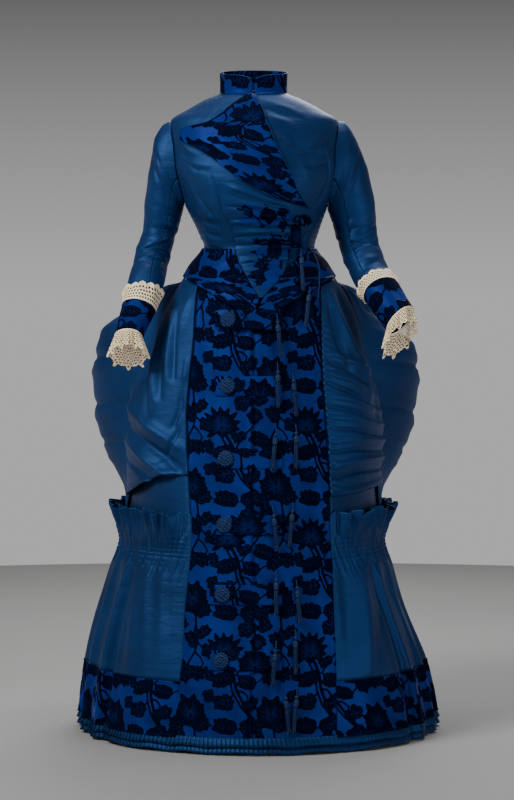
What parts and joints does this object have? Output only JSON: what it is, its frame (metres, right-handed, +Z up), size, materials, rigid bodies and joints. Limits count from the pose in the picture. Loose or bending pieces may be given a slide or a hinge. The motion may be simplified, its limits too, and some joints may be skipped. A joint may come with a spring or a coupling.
{
  "type": "afternoon dress with bustle",
  "caption": "Two-piece bustle afternoon dress in satin and cut velvet, worn hollow form, held at the shoulders.",
  "frame": {"origin": "middle of the neck base between the shoulders, where the wearer holds the dress up", "axes": "+Z up, the dress faces -Y, +X is the wearer's left"},
  "size_m": [0.7775, 0.8042, 1.3945],
  "materials": {
    "satin": "satin",
    "velvet": "matte",
    "lace": "matte",
    "trimming": "matte"
  },
  "bodies": {
    "root": {"collar": "velvet", "plastron": "velvet", "hip_panel_right": "velvet", "hip_panel_left": "velvet", "side_strap": "velvet", "side_knot": "velvet", "cuff_right": "velvet", "cuff_left": "velvet", "skirt_front_panel": "velvet", "hem_border_right": "velvet", "hem_border_left": "velvet", "tab_1": "velvet", "tab_2": "velvet", "tab_3": "velvet", "tab_4": "velvet", "tab_5": "velvet", "tab_6": "velvet", "bodice_front_right": "satin", "bodice_front_left": "satin", "bodice_back": "satin", "waist_drape": "satin", "sleeve_right_upper": "satin", "sleeve_right_under": "satin", "sleeve_left_upper": "satin", "sleeve_left_under": "satin", "skirt_side_right": "satin", "skirt_side_left": "satin", "skirt_back": "satin", "swag_right": "satin", "swag_left": "satin", "bustle_puff_right": "satin", "bustle_puff_left": "satin", "flounce_right": "satin", "flounce_left": "satin", "hem_frill": "satin", "cuff_lace_right": "lace", "cuff_lace_left": "lace", "wrist_lace_right": "lace", "wrist_lace_left": "lace", "button_1": "trimming", "button_2": "trimming", "button_3": "trimming", "button_4": "trimming", "button_5": "trimming", "button_6": "trimming", "tassel_01": "trimming", "tassel_02": "trimming", "tassel_03": "trimming", "tassel_04": "trimming", "tassel_05": "trimming", "tassel_06": "trimming", "tassel_07": "trimming", "tassel_08": "trimming", "tassel_09": "trimming", "tassel_10": "trimming", "tassel_11": "trimming", "tassel_12": "trimming", "tassel_13": "trimming", "tassel_14": "trimming", "tassel_waist": "trimming"}
  },
  "joints": []
}
